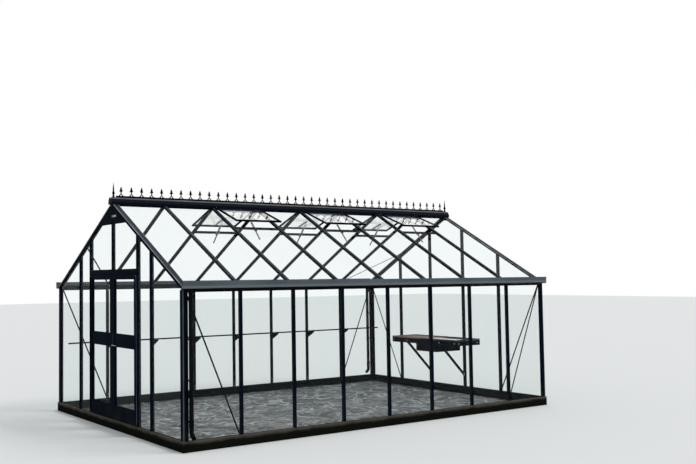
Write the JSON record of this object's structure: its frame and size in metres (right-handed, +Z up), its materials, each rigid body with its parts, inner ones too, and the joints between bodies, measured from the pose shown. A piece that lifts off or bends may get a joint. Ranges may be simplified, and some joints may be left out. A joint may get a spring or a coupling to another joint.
{
  "type": "glass greenhouse",
  "caption": "Dark-framed glass greenhouse with double hinged doors, lily cresting along the ridge, propped roof vents, gutters and a bench inside.",
  "frame": {"origin": "middle of the footprint, on the ground under the plinth", "axes": "+X runs along the ridge from the door gable to the back gable, +Y to the left wall seen by a person who walks in, +Z up"},
  "size_m": [5.98, 4.043, 3.133],
  "materials": {
    "frame": "dark green-black powder coat",
    "caps": "dark green-black powder coat",
    "door_paint": "dark green-black powder coat",
    "cresting": "dark painted casting",
    "plate": "dark powder coat, slightly lighter",
    "gutter": "dark powder coat with a satin shine",
    "pipe": "dark glossy rainwater pipe",
    "base": "dusty brown coated plinth beam",
    "opener": "dull grey metal",
    "bench": "dark powder coat",
    "tray": "black shiny tray",
    "handle": "black lever",
    "ground_cover": "grey woven ground cover",
    "glass": "clear 4 mm horticultural glass"
  },
  "bodies": {
    "greenhouse": {"base_left": "base", "base_right": "base", "base_door_end": "base", "base_back_end": "base", "floor_sheet": "ground_cover", "corner_posts": "frame", "left_wall_bars": "frame", "right_wall_bars": "frame", "door_gable_bars": "frame", "back_gable_bars": "frame", "wall_bar_caps": "caps", "gable_bar_caps": "caps", "roof_bar_caps": "caps", "left_wall_glass": "glass", "right_wall_glass": "glass", "door_gable_glass": "glass", "back_gable_glass": "glass", "left_roof_glass": "glass", "right_roof_glass": "glass", "vent_glass": "glass", "eave_beams": "frame", "left_gutter": "gutter", "right_gutter": "gutter", "downpipes": "pipe", "left_rafters": "frame", "right_rafters": "frame", "vent_crossbars": "frame", "vent_frames": "frame", "vent_openers": "opener", "ridge_beam": "frame", "ridge_cap": "caps", "ridge_cresting": "cresting", "ridge_finials": "cresting", "apex_plates": "plate", "door_surround": "frame", "jamb_hinges": "frame", "braces": "frame", "wall_rail": "frame", "bench_frame": "bench", "bench_top": "tray"},
    "left_door": {"left_door_frame": "door_paint", "left_door_glass": "glass", "left_door_hinges": "frame"},
    "right_door": {"right_door_frame": "door_paint", "right_door_glass": "glass", "right_door_hinges": "frame", "door_handle": "handle"}
  },
  "joints": [
    {"name": "left_door_hinge", "type": "hinge", "parent": "greenhouse", "child": "left_door", "pos_m": [-2.97, 0.7155, 1.0375], "axis": [0, 0, -1], "range_deg": [0, 100]},
    {"name": "right_door_hinge", "type": "hinge", "parent": "greenhouse", "child": "right_door", "pos_m": [-2.97, -0.7155, 1.0375], "axis": [0, 0, 1], "range_deg": [0, 100]}
  ]
}
